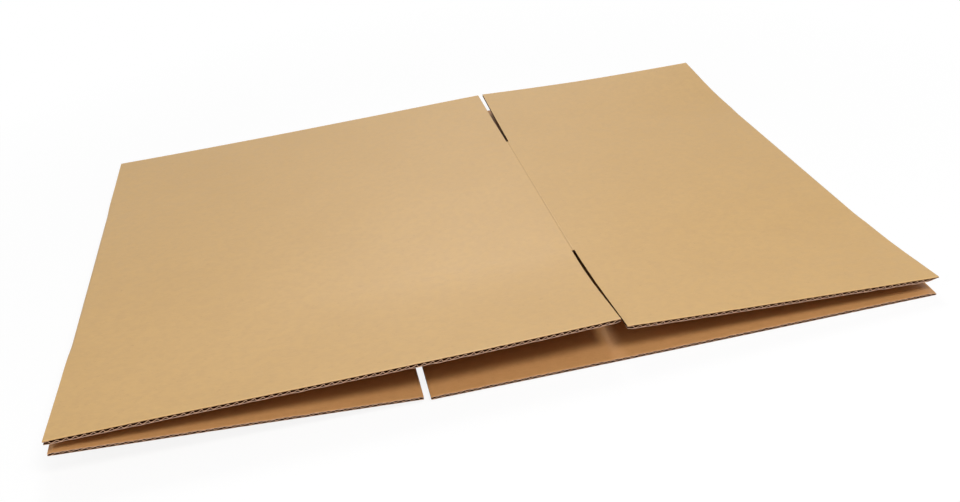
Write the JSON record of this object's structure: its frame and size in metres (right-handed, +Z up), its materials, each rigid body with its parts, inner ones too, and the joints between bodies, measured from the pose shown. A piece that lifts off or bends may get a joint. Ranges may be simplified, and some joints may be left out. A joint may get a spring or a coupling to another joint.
{
  "type": "flattened cardboard box",
  "caption": "Plain slotted corrugated box, knocked down flat and lying with its flaps laid out in line with its panels.",
  "frame": {"origin": "on the surface it lies on, under the middle of the flattened box", "axes": "+X across the box from the left fold to the right fold, +Y along the flutes from the front cut edges to the back ones, +Z up"},
  "size_m": [0.8944, 0.66, 0.048],
  "materials": {
    "kraft_board": "plain matt brown kraft liner"
  },
  "bodies": {
    "root": {"cardboard_box": "kraft_board"}
  },
  "joints": []
}
